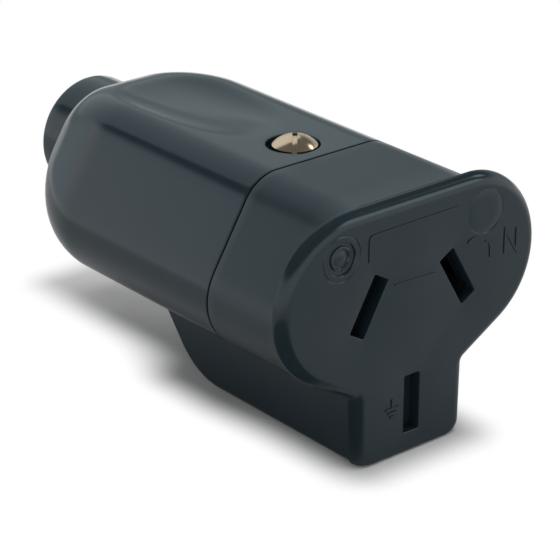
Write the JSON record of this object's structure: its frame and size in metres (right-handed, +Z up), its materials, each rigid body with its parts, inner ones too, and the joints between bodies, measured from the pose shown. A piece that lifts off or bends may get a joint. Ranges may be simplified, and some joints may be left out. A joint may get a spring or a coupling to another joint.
{
  "type": "in-line cord socket",
  "caption": "Rewireable in-line cord socket with slanted flat-pin slots, a boxed earth slot below, a screwed rear cover and a round cord neck.",
  "frame": {"origin": "centre of the pin pattern on the flat socket face", "axes": "+Y from the socket face to the cord neck, +Z up from the earth box to the flat top, +X to the right as seen by someone facing the socket"},
  "size_m": [0.0398, 0.0641, 0.0337],
  "materials": {
    "body_plastic": "satin moulded",
    "cover_plastic": "satin moulded",
    "grip_plastic": "matt moulded",
    "cover_screw_plate": "nickel plated",
    "contact_bronze": "rolled strip",
    "terminal_brass": "machined",
    "zinc_steel": "zinc plated"
  },
  "bodies": {
    "socket": {"front_body": "body_plastic", "rear_cover": "cover_plastic", "cover_nut": "zinc_steel", "line_contact": "contact_bronze", "neutral_contact": "contact_bronze", "earth_contact": "contact_bronze", "line_terminal": "terminal_brass", "neutral_terminal": "terminal_brass", "earth_terminal": "terminal_brass", "line_rivet": "terminal_brass", "neutral_rivet": "terminal_brass", "earth_rivet": "terminal_brass"},
    "cover_screw": {"cover_screw": "cover_screw_plate"},
    "line_plate": {"line_plate": "zinc_steel"},
    "neutral_plate": {"neutral_plate": "zinc_steel"},
    "earth_plate": {"earth_plate": "zinc_steel"},
    "line_screw": {"line_screw": "zinc_steel"},
    "neutral_screw": {"neutral_screw": "zinc_steel"},
    "earth_screw": {"earth_screw": "zinc_steel"},
    "grip_saddle": {"grip_saddle": "grip_plastic"},
    "left_grip_screw": {"left_grip_screw": "zinc_steel"},
    "right_grip_screw": {"right_grip_screw": "zinc_steel"}
  },
  "joints": [
    {"name": "cover_screw_turn", "type": "hinge", "parent": "socket", "child": "cover_screw", "pos_m": [0, 0.0215, 0.015], "axis": [0, 0, 1], "continuous": true},
    {"name": "line_plate_slide", "type": "slide", "parent": "socket", "child": "line_plate", "axis": [0, 0, -1], "range_m": [0, 0.002]},
    {"name": "line_screw_turn", "type": "hinge", "parent": "line_plate", "child": "line_screw", "pos_m": [-0.00686, 0.0246, 0.01], "axis": [0, 0, -1], "range_deg": [0, 1440]},
    {"name": "neutral_plate_slide", "type": "slide", "parent": "socket", "child": "neutral_plate", "axis": [0, 0, -1], "range_m": [0, 0.002]},
    {"name": "neutral_screw_turn", "type": "hinge", "parent": "neutral_plate", "child": "neutral_screw", "pos_m": [0.00686, 0.0246, 0.01], "axis": [0, 0, -1], "range_deg": [0, 1440]},
    {"name": "earth_plate_slide", "type": "slide", "parent": "socket", "child": "earth_plate", "axis": [0, 0, -1], "range_m": [0, 0.002]},
    {"name": "earth_screw_turn", "type": "hinge", "parent": "earth_plate", "child": "earth_screw", "pos_m": [0, 0.0276, -0.004], "axis": [0, 0, -1], "range_deg": [0, 1440]},
    {"name": "grip_saddle_slide", "type": "slide", "parent": "socket", "child": "grip_saddle", "axis": [0, 0, -1], "range_m": [0, 0.003]},
    {"name": "left_grip_screw_turn", "type": "hinge", "parent": "grip_saddle", "child": "left_grip_screw", "pos_m": [-0.007, 0.038, 0.0097], "axis": [0, 0, -1], "range_deg": [0, 982]},
    {"name": "right_grip_screw_turn", "type": "hinge", "parent": "grip_saddle", "child": "right_grip_screw", "pos_m": [0.007, 0.038, 0.0097], "axis": [0, 0, -1], "range_deg": [0, 982]}
  ],
  "couplings": [
    {"joint": "line_screw_turn", "follows": "line_plate_slide", "rad_per_m": 12566},
    {"joint": "neutral_screw_turn", "follows": "neutral_plate_slide", "rad_per_m": 12566},
    {"joint": "earth_screw_turn", "follows": "earth_plate_slide", "rad_per_m": 12566},
    {"joint": "left_grip_screw_turn", "follows": "grip_saddle_slide", "rad_per_m": 5712},
    {"joint": "right_grip_screw_turn", "follows": "grip_saddle_slide", "rad_per_m": 5712}
  ]
}
